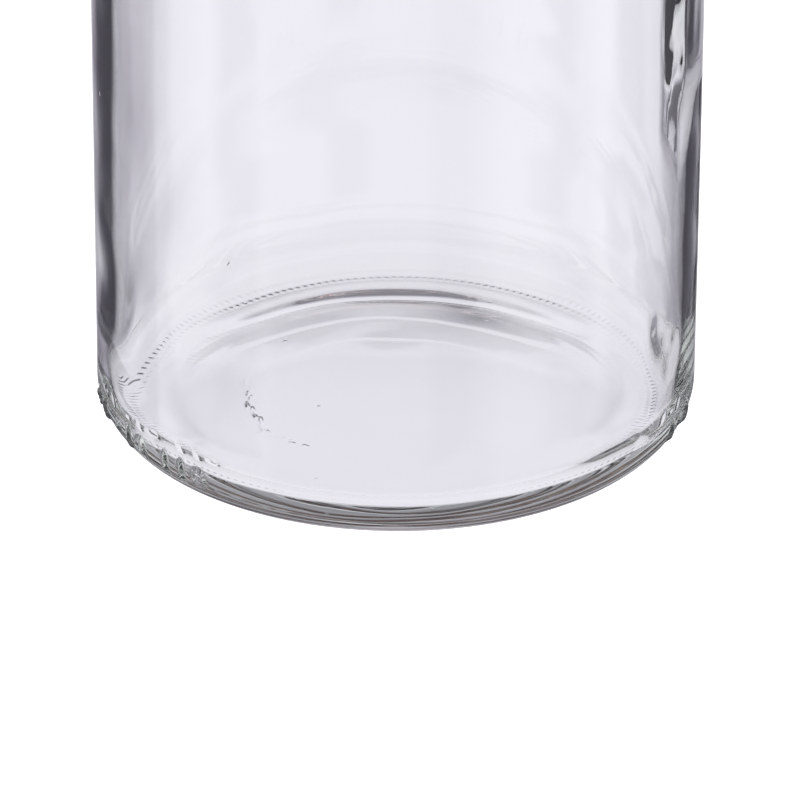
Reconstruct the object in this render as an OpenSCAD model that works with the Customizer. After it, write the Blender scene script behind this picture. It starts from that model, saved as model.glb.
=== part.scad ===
// Clip-top canning jar: a glass jar, a glass lid on a wire hinge, a rubber
// sealing ring and an over-centre wire latch. Millimetres, +Z up, the origin on
// the jar's axis at the table. The latch faces -Y and the hinge +Y.

/* [Jar body] */
// Outside diameter of the straight glass wall
body_d = 104; // [96:1:112]
// Height of the sealing rim above the table
jar_h = 158; // [140:1:190]
// Thickness of the side wall
wall_t = 2.8; // [2.4:0.1:4]
// Thickness of the glass at the middle of the base
base_t = 3.2; // [2.5:0.1:6]
// Outside radius of the heel, where the wall turns under
heel_r = 8; // [6:0.5:10]
// Inside radius between the wall and the floor
floor_r = 11.5; // [8:0.5:14]
// How much lower the floor is at its edge than in its middle
floor_fall = 1; // [0.3:0.1:1.5]
// Width of the flat ring that the jar stands on
foot_w = 4.5; // [2:0.5:6]
// Rise of the underside in the middle of the base
pushup_h = 3; // [2:0.1:5]
// Height of the shoulder between the wall and the neck
shoulder_h = 13; // [10:0.5:18]

/* [Neck and mouth] */
// How far the shoulder draws in, from the wall to the bottom of the neck groove
shoulder_w = 7.5; // [6.5:0.5:9]
// Height of the neck groove
groove_h = 6; // [5:0.5:8]
// How far the glass ring above the groove stands out from it
finish_w = 4; // [3:0.5:5]
// Height of the glass ring above the groove
finish_h = 11.5; // [9:0.5:14]
// Thickness of the glass between the groove and the mouth
neck_t = 3.5; // [3:0.5:5]
// Radius of the rim's outer edge
rim_r = 1.5; // [1:0.1:2]
// Radius of the mouth's inner edge
lip_r = 1.2; // [0.8:0.1:1.6]
// Radius under the glass ring
collar_r = 2; // [1.5:0.1:3]

/* [Lid and sealing ring] */
// Thickness of the lid's flange
flange_t = 5; // [4:0.5:7]
// Width of the ledge round the lid's raised middle, where its wire lies
ledge_w = 5.9; // [4.9:0.1:7]
// Height of the raised middle above the flange
dome_h = 5; // [4:0.5:8]
// Further rise of the crown in the middle of the lid
crown_h = 1.4; // [0.5:0.1:3]
// Thickness of the glass in the middle of the lid
lid_t = 5; // [4:0.5:7]
// Depth of the rim under the lid, from the sealing ring's top
spigot_h = 7; // [5:0.5:9]
// Thickness of the rim under the lid
spigot_t = 3.8; // [3:0.1:5]
// Clearance between the rim under the lid and the mouth
spigot_gap = 0.7; // [0.5:0.1:1]
// Radius of the corners of the lid
lid_corner_r = 1.5; // [1:0.1:2]
// Radius at the top of the raised middle
dome_r = 3; // [2:0.5:4]
// Thickness of the rubber ring
gasket_t = 2.4; // [1.8:0.1:3.2]
// How far the rubber ring's edge stays inside the lid's
gasket_inset = 0.7; // [0.3:0.1:1.2]
// Width of the pull tab
tab_w = 16; // [12:1:20]
// Reach of the pull tab beyond the lid's edge
tab_reach = 10; // [6:1:14]
// Direction of the pull tab, in degrees from +X
tab_angle = -50; // [-60:1:-40]

/* [Wire fittings] */
// Diameter of the neck wire and the latch lever
wire_d = 2.4; // [2:0.1:2.8]
// Diameter of the lid wire
lid_wire_d = 2.2; // [1.8:0.1:2.6]
// Diameter of the latch link
link_wire_d = 2; // [1.6:0.1:2.4]
// Distance from the glass ring back to the hinge axis
hinge_reach = 7.5; // [6.5:0.5:10]
// Height of the hinge axis above the rim
hinge_rise = 1; // [0:0.5:3]
// Distance between the two eyes of the lid wire
lid_eye_w = 8.6; // [7.6:0.2:12]
// Gap between the lid wire's eyes and the bends of the hinge bar
hinge_side_gap = 1.4; // [1:0.1:2.5]
// Distance between the two eyes of the neck wire
neck_eye_w = 33; // [28:1:38]
// Gap between the neck wire's eyes and the lever's arms
lever_side_gap = 1.1; // [0.9:0.1:2]
// Drop from the lever's pivot to its thumb bar
lever_drop = 36; // [32:1:42]
// Distance from the jar's wall out to the thumb bar
thumb_gap = 5; // [3:0.5:8]
// Distance from the jar's wall to the lever's arms
arm_gap = 1.5; // [1:0.1:3]
// Distance from the lever's pivot down to the link's eyes
crank = 8; // [7:0.5:9]
// Distance of the pivot outside the pull of the link, which locks the latch
over_centre = 0.8; // [0.5:0.1:1.2]
// Gap between the lever's arms and the link's sides
link_side_gap = 1.8; // [1.4:0.1:3]
// Distance from the glass ring out to the link
link_gap = 1; // [0.8:0.1:2]
// Width of the lid wire's nose
nose_w = 14; // [12:1:16]
// Reach of the nose beyond the glass ring
nose_reach = 5.5; // [5:0.5:7]
// Upward tilt of the nose, in degrees
nose_tilt = 3; // [1:1:4]

/* [Clearances] */
// Clearance of a wire round the glass that it grips
seat_gap = 0.1; // [0.05:0.05:0.2]
// Clearance of a wire in an eye
eye_gap = 0.15; // [0.1:0.05:0.25]
// Gap between the rubber ring and the rim
seal_gap = 0.2; // [0.1:0.1:0.4]
// Gap between the rubber ring and the rim under the lid
ring_gap = 0.3; // [0.1:0.1:0.5]
// Gap between the link and the nose that it hooks over
hook_gap = 0.3; // [0.2:0.1:0.5]

/* [Hidden] */
$fn = 96;
arc_steps = 7;           // straight pieces in a rounded corner's outline
shoulder_steps = 12;     // straight pieces in the shoulder's outline
dome_steps = 8;          // straight pieces in a shallow dome's outline
bend_share = 0.98;       // thickness of a wire in its bends
eye_share = 1.02;        // thickness of a wire in its eyes
lap_share = 0.08;        // how far a straight wire laps over its bends
spigot_edge_share = 0.3; // how much of its thickness the lid's rim tapers at each side
eye_sweep = 285;         // degrees that an open eye wraps round its bar
lever_bend_r = 5;        // radius of the thumb bar's corners
pivot_bend_r = 2;        // radius where the lever turns down at its pivot
knee_bend_r = 6;         // radius of the lever's slight bend
link_bend_r = 6;         // radius of the link's upper corners
foot_bend_r = 2;         // radius where the link turns into its feet
neck_bend_r = 4;         // radius where the neck wire turns out of its ring
lid_bend_r = 3;          // radius where the lid wire turns out of its ring
hinge_bend_r = 3;        // radius of the neck wire's rear legs
hinge_top_r = 2.2;       // radius where the legs turn into the hinge bar
lid_leg_r = 3;           // radius of the lid wire's rear legs
nose_bend_r = 2.4;       // radius of the nose's corners
pin_end = 0.5;           // how far the link's feet stand out of the lever's eyes
shoulder_drop = 1.5;     // how much lower the shoulder is inside than outside
steel = [0.72, 0.73, 0.75];
clear_glass = [0.86, 0.9, 0.92, 0.45];
rubber = [0.86, 0.42, 0.2];

// Radii of the glass
body_r = body_d / 2;
inner_r = body_r - wall_t;
neck_r = body_r - shoulder_w;
finish_r = neck_r + finish_w;
mouth_r = neck_r - neck_t;
foot_out_r = body_r - heel_r;
foot_in_r = foot_out_r - foot_w;
flange_r = finish_r;
dome_edge_r = flange_r - ledge_w;
spigot_r = mouth_r - spigot_gap;
recess_r = spigot_r - spigot_t;

// Heights of the glass
finish_z = jar_h - finish_h;
groove_z = finish_z - groove_h;
shoulder_z = groove_z - shoulder_h;
floor_z = pushup_h + base_t;
gasket_z = jar_h + seal_gap;
flange_z = gasket_z + gasket_t;
flange_top_z = flange_z + flange_t;
dome_top_z = flange_top_z + dome_h + crown_h;
recess_top_z = dome_top_z - lid_t;

// Wire radii and seats
wire_r = wire_d / 2;
lid_wire_r = lid_wire_d / 2;
link_wire_r = link_wire_d / 2;
neck_ring_r = neck_r + seat_gap + wire_r;
neck_wire_z = groove_z + groove_h / 2;
lid_ring_r = dome_edge_r + seat_gap + lid_wire_r;
lid_wire_z = flange_top_z + seat_gap + lid_wire_r;

// Hinge axis
hinge_y = finish_r + hinge_reach;
hinge_z = jar_h + hinge_rise;
lid_eye_r = wire_r + eye_gap + lid_wire_r;
lid_eye_x = lid_eye_w / 2;
leg_x = lid_eye_x + lid_wire_r + hinge_side_gap + hinge_top_r;

// Latch: the pivot of the lever, the eyes of the link and the link's top bar
neck_eye_x = neck_eye_w / 2;
arm_x = neck_eye_x + wire_d + lever_side_gap;
link_x = arm_x + wire_r + link_side_gap + link_wire_r;
link_y = -(finish_r + link_gap + link_wire_r);
pivot_y = link_y - over_centre;
pivot_z = neck_wire_z;
link_eye_z = pivot_z - crank;
neck_eye_r = wire_r + eye_gap + wire_r;
link_eye_r = link_wire_r + eye_gap + wire_r;
nose_y = -(finish_r + nose_reach);
nose_root_y = -turn_centre(lid_ring_r, lid_bend_r, nose_w / 2)[1];
nose_rise = (nose_root_y - link_y) * tan(nose_tilt);
link_top_z = lid_wire_z + nose_rise + (lid_wire_r + link_wire_r) / cos(nose_tilt) + hook_gap;
arm_y = -(ring_y(body_r, arm_x - wire_r) + arm_gap + wire_r);
thumb_y = -(body_r + thumb_gap + wire_r);
thumb_z = pivot_z - lever_drop;

// Distance along Y from the axis to a circle of radius r, at x
function ring_y(r, x) = sqrt(r * r - x * x);

// Points of an arc round [x, z], from angle a to angle b
function arc(x, z, r, a, b, steps = arc_steps) =
    [for (i = [0:steps]) let (t = a + (b - a) * i / steps) [x + r * cos(t), z + r * sin(t)]];

// Points of a shallow dome from the axis out to radius r, falling by fall
function dome(r, top_z, fall, steps = dome_steps) =
    let (curve_r = (r * r + fall * fall) / (2 * fall))
    [for (i = [0:steps]) let (x = r * i / steps) [x, top_z - curve_r + ring_y(curve_r, x)]];

// Points of the shoulder, a half wave from radius a up to radius b
function shoulder(a, b, z) =
    [for (i = [0:shoulder_steps]) let (t = i / shoulder_steps)
        [b + (a - b) * (1 + cos(180 * t)) / 2, z + shoulder_h * t]];

function reversed(list) = [for (i = [len(list) - 1:-1:0]) list[i]];
function unit(v) = v / norm(v);
function mirrored_x(points) = [for (p = points) [-p[0], p[1], p[2]]];

// Length of wire that a bend takes from each side of its corner b
function bend_cut(a, b, c, r) = r * tan(acos(unit(b - a) * unit(c - b)) / 2);

// Straight wire from a to b, which laps over what it meets by lap
module rod(a, b, d, lap = 0) {
    v = b - a;
    length = norm(v);
    translate(a)
        rotate([0, acos(v[2] / length), atan2(v[1], v[0])])
            translate([0, 0, -lap]) cylinder(d = d, h = length + 2 * lap);
}

// Round bend of radius r at the corner b of a wire that runs from a to c
module bend(a, b, c, r, d) {
    u = unit(b - a);
    v = unit(c - b);
    inward = unit(v - u * (u * v));
    centre = b - u * bend_cut(a, b, c, r) + inward * r;
    across = cross(-inward, u);
    multmatrix([
        [-inward[0], u[0], across[0], centre[0]],
        [-inward[1], u[1], across[1], centre[1]],
        [-inward[2], u[2], across[2], centre[2]],
        [0, 0, 0, 1],
    ])
        rotate_extrude(angle = acos(u * v)) translate([r, 0]) circle(d = d * bend_share);
}

// Wire along corner points, with a bend radius for each inner point
module bent_wire(points, radii, d) {
    last = len(points) - 1;
    lap = d * lap_share;
    cuts = [for (i = [0:last])
        (i == 0 || i == last) ? 0 : bend_cut(points[i - 1], points[i], points[i + 1], radii[i - 1])];
    for (i = [0:last - 1]) {
        along = unit(points[i + 1] - points[i]);
        rod(points[i] + along * cuts[i], points[i + 1] - along * cuts[i + 1], d, lap);
    }
    for (i = [1:last - 1])
        bend(points[i - 1], points[i], points[i + 1], radii[i - 1], d);
}

// Centre of the bend of radius bend_r that turns a ring of radius r out along Y at x
function turn_centre(r, bend_r, x) = [x + bend_r, ring_y(r + bend_r, x + bend_r)];

// Right half of a level ring of wire that turns out along -Y at front_x and +Y at rear_x
module half_ring(r, z, bend_r, front_x, rear_x, d) {
    front = turn_centre(r, bend_r, front_x);
    rear = turn_centre(r, bend_r, rear_x);
    front_angle = atan2(front[1], front[0]);
    rear_angle = atan2(rear[1], rear[0]);
    lap_angle = asin(d * lap_share / r);
    translate([0, 0, z]) {
        rotate([0, 0, -front_angle - lap_angle])
            rotate_extrude(angle = front_angle + rear_angle + 2 * lap_angle)
                translate([r, 0]) circle(d = d);
        translate([front[0], -front[1]]) rotate([0, 0, 180 - front_angle])
            rotate_extrude(angle = front_angle) translate([bend_r, 0]) circle(d = d * bend_share);
        translate(rear) rotate([0, 0, 180])
            rotate_extrude(angle = rear_angle) translate([bend_r, 0]) circle(d = d * bend_share);
    }
}

// Eye of wire round an axis along X, from an angle that starts at +Y
module eye(centre, r, start, sweep, d) {
    translate(centre) rotate([90, 0, 90]) rotate([0, 0, start])
        rotate_extrude(angle = sweep) translate([r, 0]) circle(d = d * eye_share);
}

// The jar: straight wall, round heel, raised base, shoulder, groove and rim
module glass_body() {
    floor_edge_z = floor_z - floor_fall;
    outside = concat(
        dome(foot_in_r, pushup_h, pushup_h),
        arc(foot_out_r, heel_r, heel_r, -90, 0),
        shoulder(body_r, neck_r, shoulder_z),
        [[neck_r, finish_z], [finish_r - collar_r, finish_z]],
        arc(finish_r - collar_r, finish_z + collar_r, collar_r, -90, 0),
        arc(finish_r - rim_r, jar_h - rim_r, rim_r, 0, 90)
    );
    inside = concat(
        dome(inner_r - floor_r, floor_z, floor_fall),
        arc(inner_r - floor_r, floor_edge_z + floor_r, floor_r, -90, 0),
        shoulder(inner_r, mouth_r, shoulder_z - shoulder_drop),
        arc(mouth_r + lip_r, jar_h - lip_r, lip_r, 180, 90)
    );
    color(clear_glass) rotate_extrude() polygon(concat(outside, reversed(inside)));
}

// The wire round the neck: a ring, two front eyes and the hinge bar
module neck_wire() {
    front = turn_centre(neck_ring_r, neck_bend_r, neck_eye_x);
    rear = turn_centre(neck_ring_r, neck_bend_r, leg_x);
    rear_leg = [[leg_x, rear[1], neck_wire_z], [leg_x, hinge_y, neck_wire_z], [leg_x, hinge_y, hinge_z]];
    color(steel) {
        for (side = [0, 1]) mirror([side, 0, 0]) {
            half_ring(neck_ring_r, neck_wire_z, neck_bend_r, neck_eye_x, leg_x, wire_d);
            rod([neck_eye_x, -front[1] + wire_d * lap_share, neck_wire_z],
                [neck_eye_x, pivot_y + neck_eye_r, pivot_z], wire_d);
            eye([neck_eye_x, pivot_y, pivot_z], neck_eye_r, 0, 360, wire_d);
        }
        bent_wire(concat(rear_leg, reversed(mirrored_x(rear_leg))),
            [hinge_bend_r, hinge_top_r, hinge_top_r, hinge_bend_r], wire_d);
    }
}

// The lid: a thick flange, a raised crown and a rim that drops into the mouth
module lid_glass() {
    dome_side_z = dome_top_z - crown_h;
    spigot_z = flange_z - spigot_h;
    edge = spigot_t * spigot_edge_share;
    outline = concat(
        dome(dome_edge_r - dome_r, dome_top_z, crown_h),
        arc(dome_edge_r - dome_r, dome_side_z - dome_r, dome_r, 90, 0),
        [[dome_edge_r, flange_top_z]],
        arc(flange_r - lid_corner_r, flange_top_z - lid_corner_r, lid_corner_r, 90, 0),
        arc(flange_r - lid_corner_r, flange_z + lid_corner_r, lid_corner_r, 0, -90),
        [[spigot_r, flange_z], [spigot_r, spigot_z + edge], [spigot_r - edge, spigot_z]],
        [[recess_r + edge, spigot_z], [recess_r, spigot_z + edge]],
        arc(recess_r - dome_r, recess_top_z - crown_h - dome_r, dome_r, 0, 90),
        reversed(dome(recess_r - dome_r, recess_top_z, crown_h))
    );
    color(clear_glass) rotate_extrude() polygon(outline);
}

// The rubber ring with its pull tab
module lid_gasket() {
    gasket_r = flange_r - gasket_inset;
    tab_end = flange_r + tab_reach - tab_w / 2;
    color(rubber) translate([0, 0, gasket_z]) linear_extrude(gasket_t) difference() {
        union() {
            circle(r = gasket_r);
            rotate(tab_angle) {
                translate([0, -tab_w / 2]) square([tab_end, tab_w]);
                translate([tab_end, 0]) circle(d = tab_w);
            }
        }
        circle(r = spigot_r + ring_gap);
    }
}

// The wire round the lid: a ring, the nose and two eyes on the hinge bar
module lid_wire() {
    nose_x = nose_w / 2;
    rear = turn_centre(lid_ring_r, lid_bend_r, lid_eye_x);
    leg_y = hinge_y - lid_eye_r;
    tip_z = lid_wire_z + (nose_root_y - nose_y) * tan(nose_tilt);
    nose_side = [[nose_x, nose_root_y, lid_wire_z], [nose_x, nose_y, tip_z]];
    color(steel) {
        for (side = [0, 1]) mirror([side, 0, 0]) {
            half_ring(lid_ring_r, lid_wire_z, lid_bend_r, nose_x, lid_eye_x, lid_wire_d);
            bent_wire([
                [lid_eye_x, rear[1], lid_wire_z], [lid_eye_x, leg_y, lid_wire_z], [lid_eye_x, leg_y, hinge_z],
            ], [lid_leg_r], lid_wire_d);
            eye([lid_eye_x, hinge_y, hinge_z], lid_eye_r, 180, eye_sweep, lid_wire_d);
        }
        bent_wire(concat(nose_side, reversed(mirrored_x(nose_side))), [nose_bend_r, nose_bend_r], lid_wire_d);
    }
}

// The lever: a pivot bar through the neck wire's eyes, two arms and a thumb bar
module latch_lever() {
    eye_top = [arm_x, link_y, link_eye_z + link_eye_r];
    eye_foot = [arm_x, link_y, link_eye_z - link_eye_r];
    knee = [arm_x, arm_y, shoulder_z];
    thumb = [arm_x, thumb_y, thumb_z];
    pivot = [arm_x, pivot_y, pivot_z];
    upper = concat([eye_top, pivot], mirrored_x([pivot, eye_top]));
    lower = concat([eye_foot, knee, thumb], mirrored_x([thumb, knee, eye_foot]));
    color(steel) {
        bent_wire(upper, [pivot_bend_r, pivot_bend_r], wire_d);
        bent_wire(lower, [knee_bend_r, lever_bend_r, lever_bend_r, knee_bend_r], wire_d);
        for (side = [-1, 1])
            eye([side * arm_x, link_y, link_eye_z], link_eye_r, 0, 360, wire_d);
    }
}

// The link: its feet turn in the lever's eyes and its top bar hooks over the nose
module latch_link() {
    foot_x = arm_x - wire_r - pin_end;
    right = [
        [foot_x, link_y, link_eye_z], [link_x, link_y, link_eye_z], [link_x, link_y, link_top_z],
    ];
    color(steel)
        bent_wire(concat(right, reversed(mirrored_x(right))),
            [foot_bend_r, link_bend_r, link_bend_r, foot_bend_r], link_wire_d);
}

glass_body();
neck_wire();
lid_glass();
lid_gasket();
lid_wire();
latch_lever();
latch_link();
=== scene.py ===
import math

import bpy
import numpy as np
from mathutils import Matrix, Vector


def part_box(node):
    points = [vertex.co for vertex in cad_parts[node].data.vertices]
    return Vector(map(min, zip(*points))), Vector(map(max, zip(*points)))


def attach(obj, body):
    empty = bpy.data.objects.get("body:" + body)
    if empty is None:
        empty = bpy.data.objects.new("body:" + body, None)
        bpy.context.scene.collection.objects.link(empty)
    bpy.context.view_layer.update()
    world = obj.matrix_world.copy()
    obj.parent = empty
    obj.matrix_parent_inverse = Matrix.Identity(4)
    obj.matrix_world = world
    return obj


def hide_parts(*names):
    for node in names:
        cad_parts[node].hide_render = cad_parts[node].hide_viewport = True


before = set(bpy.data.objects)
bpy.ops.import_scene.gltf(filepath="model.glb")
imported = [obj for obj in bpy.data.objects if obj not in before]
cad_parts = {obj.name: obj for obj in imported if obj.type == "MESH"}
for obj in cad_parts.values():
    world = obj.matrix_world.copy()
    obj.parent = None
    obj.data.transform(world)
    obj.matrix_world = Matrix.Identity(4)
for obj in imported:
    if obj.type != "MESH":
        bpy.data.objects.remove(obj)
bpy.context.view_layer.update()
mm = 0.001
tau = 2 * math.pi
print("frame loaded:", sorted(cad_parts))


# Meshes and outlines

def addMesh(name, points, faceSets, uvs=None):
    # One mesh object from an n x 3 array of points and arrays of quads and triangles.
    counts = np.concatenate([np.full(len(faces), faces.shape[1]) for faces in faceSets])
    corners = np.concatenate([faces.ravel() for faces in faceSets]).astype(np.int32)
    mesh = bpy.data.meshes.new(name)
    mesh.vertices.add(len(points))
    mesh.vertices.foreach_set("co", np.ascontiguousarray(points, np.float32).ravel())
    mesh.loops.add(len(corners))
    mesh.loops.foreach_set("vertex_index", corners)
    mesh.polygons.add(len(counts))
    mesh.polygons.foreach_set("loop_start", (np.cumsum(counts) - counts).astype(np.int32))
    mesh.update(calc_edges=True)
    if uvs is not None:
        layer = mesh.uv_layers.new(name="along")
        layer.uv.foreach_set("vector", np.ascontiguousarray(uvs[corners], np.float32).ravel())
    mesh.shade_smooth()
    piece = bpy.data.objects.new(name, mesh)
    bpy.context.scene.collection.objects.link(piece)
    print(f"{name}: {len(points)} points, {len(counts)} faces")
    return piece


def ringStrip(startA, countA, startB, countB):
    # Faces between two rings of points. Equal rings give quads, and a ring with twice
    # as many points as the other gives three triangles for each step of the coarse one.
    if countA == countB:
        j = np.arange(countA)
        k = (j + 1) % countA
        return np.stack([startA + j, startA + k, startB + k, startB + j], 1)
    j = np.arange(min(countA, countB))
    k = (j + 1) % len(j)
    mid, far = 2 * j + 1, (2 * j + 2) % (2 * len(j))
    if countB > countA:
        parts = [(startA + j, startA + k, startB + mid), (startA + j, startB + mid, startB + 2 * j),
                 (startA + k, startB + far, startB + mid)]
    else:
        parts = [(startA + 2 * j, startA + mid, startB + j), (startA + mid, startB + k, startB + j),
                 (startA + mid, startA + far, startB + k)]
    return np.concatenate([np.stack(part, 1) for part in parts])


def latheMesh(name, rings, bottom, top):
    # A closed shell from rings of points, with a pole on the axis at both ends.
    counts = [len(ring) for ring in rings]
    starts = 1 + np.cumsum([0] + counts)
    strips = [ringStrip(starts[i], counts[i], starts[i + 1], counts[i + 1]) for i in range(len(rings) - 1)]
    j = np.arange(counts[0])
    strips.append(np.stack([0 * j, starts[0] + (j + 1) % counts[0], starts[0] + j], 1))
    j = np.arange(counts[-1])
    last = starts[-2]
    strips.append(np.stack([last + j, last + (j + 1) % counts[-1], 0 * j + starts[-1]], 1))
    quads = [strip for strip in strips if strip.shape[1] == 4]
    triangles = [strip for strip in strips if strip.shape[1] == 3]
    return addMesh(name, np.concatenate([[bottom]] + rings + [[top]]), quads + triangles)


def arc(x, z, radius, start, end, count):
    # Points of an arc round (x, z), angles in degrees.
    t = np.radians(np.linspace(start, end, count))
    return np.stack([x + radius * np.cos(t), z + radius * np.sin(t)], 1)


def line(a, b, count):
    # Even steps from a to b, which are both points or both numbers.
    return np.linspace(a, b, count)


def domeLine(radii, topZ, fall, edge):
    # Points of a shallow dome: a circle's arc that falls by fall between the axis and edge.
    curve = (edge * edge + fall * fall) / (2 * fall)
    return np.stack([radii, topZ - curve + np.sqrt(curve * curve - radii * radii)], 1)


def halfWave(a, b, z, height, count):
    # Points of a shoulder: half a cosine wave from radius a up to radius b.
    t = np.linspace(0, 1, count)
    return np.stack([b + (a - b) * (1 + np.cos(math.pi * t)) / 2, z + height * t], 1)


def joined(*parts):
    # One outline from several, with repeated points left out.
    outline = np.concatenate(parts)
    step = np.linalg.norm(np.diff(outline, axis=0), axis=1)
    return outline[np.concatenate([[True], step > 0.01 * mm])]


def outward(outline):
    # Unit normals of an outline, to the right of the way it runs.
    t = np.gradient(outline, axis=0)
    n = np.stack([t[:, 1], -t[:, 0]], 1)
    return n / np.linalg.norm(n, axis=1)[:, None]


# Reliefs

def bump(x, width):
    # A bell of height 1: e to the minus square of x over width.
    return np.exp(-((x / width) ** 2))


def ramp(x, low, high):
    # Smooth step from 0 at low to 1 at high.
    t = np.clip((x - low) / (high - low), 0, 1)
    return t * t * (3 - 2 * t)


def fade(x, low, high):
    # Smooth step from 1 at low to 0 at high.
    return 1 - ramp(x, low, high)


def waves(theta, z, table):
    # Sum of sines: each row is amplitude, waves round the jar, wavelength along z, phase.
    return sum(a * np.sin(n * theta + tau * z / length + phase) for a, n, length, phase in table)


def angleFrom(theta, degrees):
    # Angle from a direction that is given in degrees, wrapped to half a turn either way.
    return np.angle(np.exp(1j * (theta - math.radians(degrees))))


crowding = {"share": 0.3, "turn": 120}   # how much closer the points lie, and where, in degrees


def ringsOf(outline, normals, around, relief, s):
    # Rings of points round the axis, moved along the outline's normals by relief(theta, r, z, s). The
    # even angles are shifted by a sine, so that they crowd on the front left, where the marks are.
    even = np.arange(around) / around * tau
    theta = even - crowding["share"] * np.sin(even + math.radians(crowding["turn"]))
    rings = []
    for (r, z), (nr, nz) in zip(outline, normals):
        h = relief(theta, r, z, s)
        out = r + nr * h
        rings.append(np.stack([out * np.cos(theta), out * np.sin(theta), z + nz * h], 1))
    return rings


# Glass jar

jar = {
    "height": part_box("glass_body")[1].z, "bodyRadius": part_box("glass_body")[1].x,
    "wall": 2.8 * mm, "base": 3.2 * mm, "heel": 8 * mm, "floorCorner": 11.5 * mm, "floorFall": 1 * mm,
    "foot": 4.5 * mm, "footBlend": 0.15 * mm, "pushup": 3 * mm, "shoulder": 13 * mm,
    "shoulderDrop": 1.5 * mm, "neckRadius": 44.5 * mm, "groove": 6 * mm, "finishRadius": 48.5 * mm,
    "finish": 11.5 * mm, "mouthRadius": 41 * mm, "rim": 1.5 * mm, "lip": 1.2 * mm, "collar": 2 * mm,
    "grooveCorner": 0.8 * mm,
    # points in a ring, and in the finer rings from footLead inside the foot up to footTop
    "around": 384, "aroundFoot": 768, "footLead": 2 * mm, "footTop": 10.4 * mm,
    # the coarser rings begin again at wallFrom, and the first one lies at the pole's radius
    "wallFrom": 12.8 * mm, "shoulderLead": 2 * mm, "pole": 3 * mm,
    # bearing ring: rows of low ridges, each with its inner and outer radius, depth and shift
    "stippleRows": [(43.7 * mm, 45.0 * mm, 0.10 * mm, 0.0), (45.6 * mm, 47.3 * mm, 0.20 * mm, 0.5)],
    "stippleCount": 192, "stippleEdge": 0.3 * mm, "stippleTop": 1 * mm,
    # ring left by the mould's baffle: its radius wanders by sines (amplitude, waves, phase) and jumps
    "baffleRadius": 26.5 * mm, "baffleDepth": 0.35 * mm, "baffleWidth": 0.25 * mm,
    "baffleWander": [(0.5 * mm, 5, 1.1), (0.3 * mm, 17, 0.0)], "baffleJump": 0.25 * mm, "baffleJumps": 41,
    # it shows on a stretch and as dashes: degrees, half width in radians, waves, unevenness or depth
    "baffleStretch": (201, 0.28, 37, 0.35), "baffleDashes": (232, 0.12, 60, 0.5),
    # mould marks on the heel: azimuth from the front in degrees, and kind
    "marks": [(-40, "ring"), (-44.5, "bar"), (-49, "bar"), (-57, "ring"), (-61.5, "bar"), (-66, "dot"),
              (-74, "bar"), (-79, "ring"), (66, "bar"), (70, "dot"), (74, "bar")],
    "markWidth": 0.6 * mm, "markHeight": 0.5 * mm, "markPlace": 6.6 * mm, "barHalf": 2.3 * mm,
    "dotHalf": 0.72 * mm, "ringRadius": 1.2 * mm, "ringLine": 0.36 * mm,
    # slow waves of the outer and inner wall, and the heights between which they fade
    "outerWaves": [(0.015 * mm, 3, 18 * tau * mm, 0.0)], "outerTop": (100 * mm, 125 * mm),
    "wallWaves": [(0.03 * mm, 2, 210 * mm, 0.4), (0.015 * mm, 3, -120 * mm, 1.9),
                  (0.006 * mm, 7, 40 * mm, 4.0)],
    "wallFoot": (6 * mm, 22 * mm), "wallTop": (118 * mm, 142 * mm),
    # the wall is thicker on the left, less so at dipZ, and thinner on the right
    "leftMore": 0.5 * mm, "leftPlace": 197, "leftFoot": (6 * mm, 18 * mm), "dipZ": 38 * mm,
    "dipSpread": 9 * mm, "dipShare": 0.25, "rightLess": 0.3 * mm, "rightPlace": -17, "sideWidth": 0.8,
    # low tongue of thick glass on the right: its angles at the tip, on the left, on the right and where
    # it opens, and the heights between which it widens and then opens
    "tongueAngles": (22.5, 30.5, 14, -45), "tongueGrows": (53 * mm, 66 * mm),
    "tongueOpens": (67 * mm, 74 * mm), "tongueSlope": 0.07, "tongueRise": 0.6 * mm,
    "frayAngle": 0.4, "frayLength": 4.1 * mm, "streakShare": 0.012, "streaksPerDegree": 0.8,
    "streakLength": 19 * mm,
    # lumps low on the right of the inner wall: degrees from +X to the front, height, radius, rise
    "lumps": [(27, 24 * mm, 3.2 * mm, 0.30 * mm), (24.5, 19.5 * mm, 2.0 * mm, 0.25 * mm),
              (30, 28 * mm, 1.8 * mm, 0.2 * mm), (22, 22 * mm, 1.6 * mm, 0.25 * mm)],
    # the floor's corner is tighter at the two sides and in front than behind
    "sideCorner": 5 * mm, "sideCornerRange": (0.55, 0.92), "frontShare": 0.8, "frontEdge": 0.3,
    "cornerLumps": [(0.10 * mm, 5, 90 * mm, 0.3), (0.07 * mm, 11, 60 * mm, 2.0),
                    (0.04 * mm, 23, 40 * mm, 4.1)],
    "cornerAt": 0.7, "cornerSpread": 5 * mm, "cornerFrom": 30 * mm,
    "floorWaves": [(0.05 * mm, 2, 31 * mm, 0.3), (0.04 * mm, 3, -22 * mm, 2.1),
                   (0.02 * mm, 5, 17 * mm, 4.4)],
    "floorFade": 9 * mm, "floorMiddle": (2 * mm, 12 * mm),
}


def cornerCentre(s):
    # Centre of the wide corner: its radius in from the wall and up from the floor's edge.
    return (s["bodyRadius"] - s["wall"] - s["floorCorner"],
            s["pushup"] + s["base"] - s["floorFall"] + s["floorCorner"])


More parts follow.
